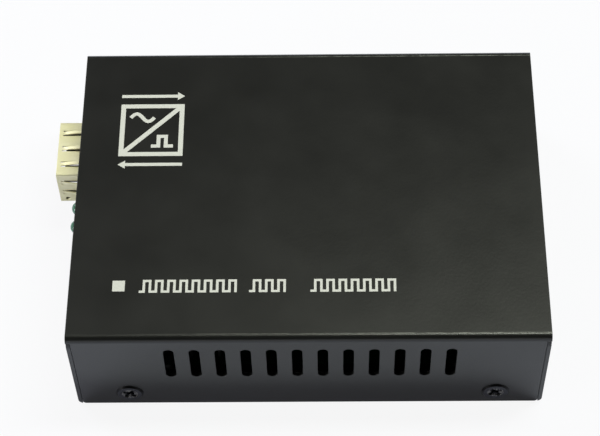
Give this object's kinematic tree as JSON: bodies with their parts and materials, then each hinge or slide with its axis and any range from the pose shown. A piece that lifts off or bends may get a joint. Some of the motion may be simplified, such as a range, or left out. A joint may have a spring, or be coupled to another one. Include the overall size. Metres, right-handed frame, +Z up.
{
  "type": "fibre media converter",
  "caption": "Compact steel-cased fibre media converter with an SFP cage, indicator LEDs and an RJ45 port at one end and a DC inlet at the other.",
  "frame": {"origin": "middle of the underside of the case, on the surface that it stands on", "axes": "+X from the port panel to the rear panel, along the case's length; +Y across the case; +Z up"},
  "size_m": [0.1001, 0.071, 0.0256],
  "materials": {
    "black_plastic": "moulded, satin",
    "black_steel": "fine matt black powder coat",
    "board_green": "green solder mask on glass fibre board",
    "capacitor_sleeve": "shrink sleeve",
    "chip_ceramic": "ceramic chip",
    "chip_epoxy": "moulded epoxy",
    "ferrite": "ferrite",
    "gold_contact": "gold plated",
    "green_lens": "translucent green epoxy",
    "jack_shield": "nickel plated",
    "plated_cage": "bright plated copper alloy",
    "screw_black": "black zinc plated steel",
    "tinned_lead": "tinned",
    "zinc_steel": "zinc plated"
  },
  "bodies": {
    "root": {"base_pan": "black_steel", "board_screws": "zinc_steel", "board_standoffs": "zinc_steel", "chip_capacitors": "chip_ceramic", "chip_resistors": "chip_ceramic", "converter_chip": "chip_epoxy", "cover_screws": "screw_black", "crystal_can": "tinned_lead", "dc_inlet_blade": "tinned_lead", "dc_inlet_housing": "black_plastic", "dc_inlet_pin": "tinned_lead", "input_capacitor": "capacitor_sleeve", "input_diode": "chip_epoxy", "input_diode_straps": "tinned_lead", "led_block": "black_plastic", "led_far": "green_lens", "led_leads": "tinned_lead", "led_near": "green_lens", "magnetics": "chip_epoxy", "magnetics_leads": "tinned_lead", "main_board": "board_green", "memory_chip": "chip_epoxy", "memory_chip_leads": "tinned_lead", "output_capacitor": "capacitor_sleeve", "power_inductor": "ferrite", "regulator_body": "chip_epoxy", "regulator_tab": "tinned_lead", "rj45_contacts": "gold_contact", "rj45_housing": "black_plastic", "rj45_shield": "jack_shield", "sfp_cage_base": "plated_cage", "sfp_cage_cover": "plated_cage", "sfp_connector": "black_plastic", "sfp_contacts": "gold_contact", "top_cover": "black_steel"}
  },
  "joints": []
}
